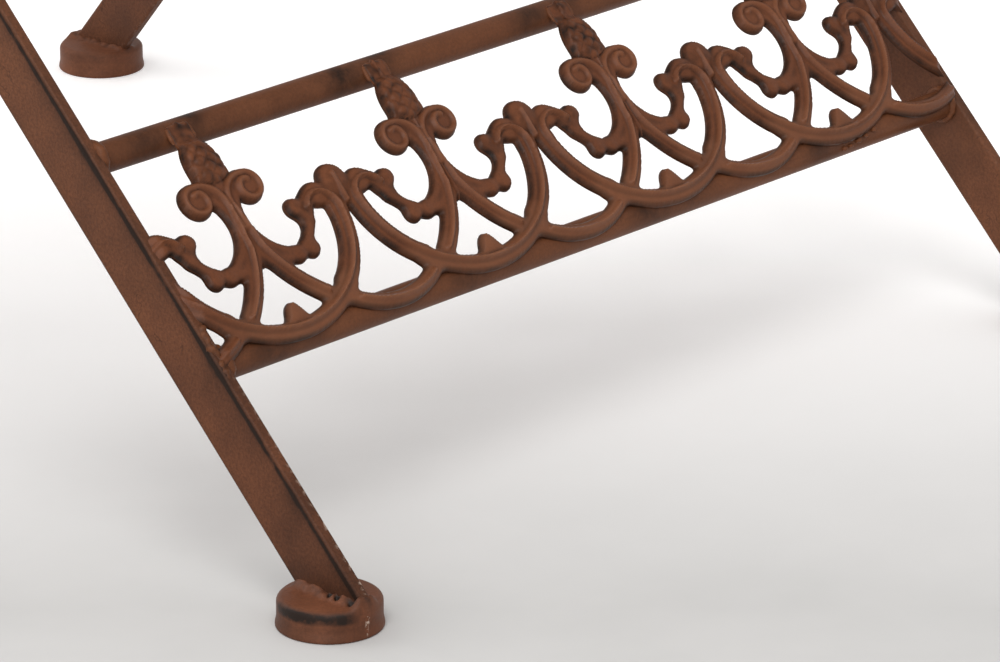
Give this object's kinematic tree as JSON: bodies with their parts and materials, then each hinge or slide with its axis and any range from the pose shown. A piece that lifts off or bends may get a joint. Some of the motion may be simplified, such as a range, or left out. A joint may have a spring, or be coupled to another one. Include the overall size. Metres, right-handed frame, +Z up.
{
  "type": "folding garden chair",
  "caption": "Folding garden chair of brown painted flat iron bars: crossed legs on round cap feet, slatted seat, and a cast scroll frieze with cone buds between the front legs and in the back.",
  "frame": {"origin": "on the floor, in the middle between the four feet", "axes": "+Z up, the front of the chair faces -Y, +X to the right for someone facing its front"},
  "size_m": [0.4318, 0.5388, 0.8876],
  "materials": {
    "painted_iron": "satin rust-brown paint with brushed dark antique shading",
    "painted_casting": "satin rust-brown paint over a cast surface, dark in the recesses",
    "painted_foot": "satin rust-brown paint with a dark brushed rim",
    "painted_rivet": "satin rust-brown paint"
  },
  "bodies": {
    "main_frame": {"back_frieze": "painted_casting", "back_lower_rail": "painted_iron", "back_middle_rail": "painted_iron", "back_spindle_1": "painted_iron", "back_spindle_2": "painted_iron", "back_spindle_3": "painted_iron", "back_spindle_4": "painted_iron", "back_spindle_5": "painted_iron", "back_top_rail": "painted_iron", "back_upper_rail": "painted_iron", "fold_rivet_left": "painted_rivet", "fold_rivet_right": "painted_rivet", "fold_washer_left": "painted_rivet", "fold_washer_right": "painted_rivet", "front_foot_left": "painted_foot", "front_foot_right": "painted_foot", "front_frieze": "painted_casting", "front_lower_rail": "painted_iron", "front_upper_rail": "painted_iron", "seat_rivet_left": "painted_rivet", "seat_rivet_right": "painted_rivet", "seat_spacer_left": "painted_rivet", "seat_spacer_right": "painted_rivet", "side_rail_left": "painted_iron", "side_rail_right": "painted_iron"},
    "rear_legs": {"rear_foot_left": "painted_foot", "rear_foot_right": "painted_foot", "rear_leg_left": "painted_iron", "rear_leg_right": "painted_iron", "rear_rail": "painted_iron", "seat_rest_rod": "painted_iron"},
    "seat": {"seat_front_bar": "painted_iron", "seat_hook_left": "painted_iron", "seat_hook_right": "painted_iron", "seat_middle_bar": "painted_iron", "seat_rail_left": "painted_iron", "seat_rail_right": "painted_iron", "seat_rear_bar": "painted_iron", "seat_slat_1": "painted_iron", "seat_slat_2": "painted_iron", "seat_slat_3": "painted_iron", "seat_slat_4": "painted_iron", "seat_slat_5": "painted_iron", "seat_slat_6": "painted_iron", "seat_slat_7": "painted_iron", "seat_slat_8": "painted_iron", "seat_slat_9": "painted_iron"}
  },
  "joints": [
    {"name": "fold", "type": "hinge", "parent": "main_frame", "child": "rear_legs", "pos_m": [0, 0.01528, 0.28973], "axis": [-1, 0, 0], "range_deg": [0, 78]},
    {"name": "seat_lift", "type": "hinge", "parent": "main_frame", "child": "seat", "pos_m": [0, 0.12832, 0.436], "axis": [-1, 0, 0], "range_deg": [0, 86]}
  ],
  "couplings": [
    {"joint": "seat_lift", "follows": "fold", "ratio": 1.1}
  ]
}
